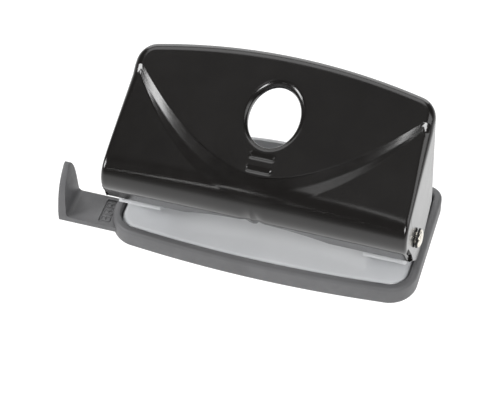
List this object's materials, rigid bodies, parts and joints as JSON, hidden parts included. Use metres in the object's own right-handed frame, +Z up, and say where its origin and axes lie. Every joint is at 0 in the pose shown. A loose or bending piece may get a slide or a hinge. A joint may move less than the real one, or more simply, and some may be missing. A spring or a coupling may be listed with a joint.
{
  "type": "two-hole paper punch",
  "caption": "Desk paper punch with a pressed-steel lever, sprung pins, a lift-off base on a chip tray and a sliding paper guide.",
  "frame": {"origin": "middle of the underside of the chip tray, on the surface that the punch stands on", "axes": "+X along the length away from the paper guide's stop, -Y towards the user and the paper side, +Z up"},
  "size_m": [0.1247, 0.0551, 0.0629],
  "materials": {
    "dark_plastic": "satin moulded",
    "grey_paint": "gloss",
    "black_paint": "satin gloss",
    "pin_steel": "ground",
    "spring_steel": "drawn wire",
    "nickel": "nickel plated",
    "black_washer": "matt"
  },
  "bodies": {
    "tray": {"chip_tray": "dark_plastic", "guide_spring": "spring_steel"},
    "guide": {"paper_guide": "dark_plastic"},
    "base": {"base_plate": "grey_paint", "paper_stop": "grey_paint", "left_bracket": "grey_paint", "right_bracket": "grey_paint", "bracket_rivets": "nickel", "left_pivot_rivet": "nickel", "right_pivot_rivet": "nickel", "left_pivot_washer": "black_washer", "right_pivot_washer": "black_washer"},
    "lever": {"lever": "black_paint", "left_press_plate": "pin_steel", "right_press_plate": "pin_steel"},
    "left_pin": {"left_punch": "pin_steel", "left_clip": "spring_steel", "left_spring": "spring_steel"},
    "right_pin": {"right_punch": "pin_steel", "right_clip": "spring_steel", "right_spring": "spring_steel"}
  },
  "joints": [
    {"name": "tray_release", "type": "slide", "parent": "tray", "child": "base", "axis": [0, 0, 1], "range_m": [0, 0.015]},
    {"name": "guide_slide", "type": "slide", "parent": "tray", "child": "guide", "axis": [-1, 0, 0], "range_m": [-0.007, 0.08]},
    {"name": "lever_press", "type": "hinge", "parent": "base", "child": "lever", "pos_m": [0, -0.0135, 0.024], "axis": [-1, 0, 0], "range_deg": [0, 15.5], "stiffness_Nm_per_rad": 0.8, "springref_deg": -20.05},
    {"name": "left_punch_stroke", "type": "slide", "parent": "base", "child": "left_pin", "axis": [0, 0, -1], "range_m": [0, 0.0055], "deforming": ["left_spring"]},
    {"name": "right_punch_stroke", "type": "slide", "parent": "base", "child": "right_pin", "axis": [0, 0, -1], "range_m": [0, 0.0055], "deforming": ["right_spring"]}
  ],
  "couplings": [
    {"joint": "left_punch_stroke", "follows": "lever_press", "m_per_rad": 0.02},
    {"joint": "right_punch_stroke", "follows": "lever_press", "m_per_rad": 0.02}
  ]
}
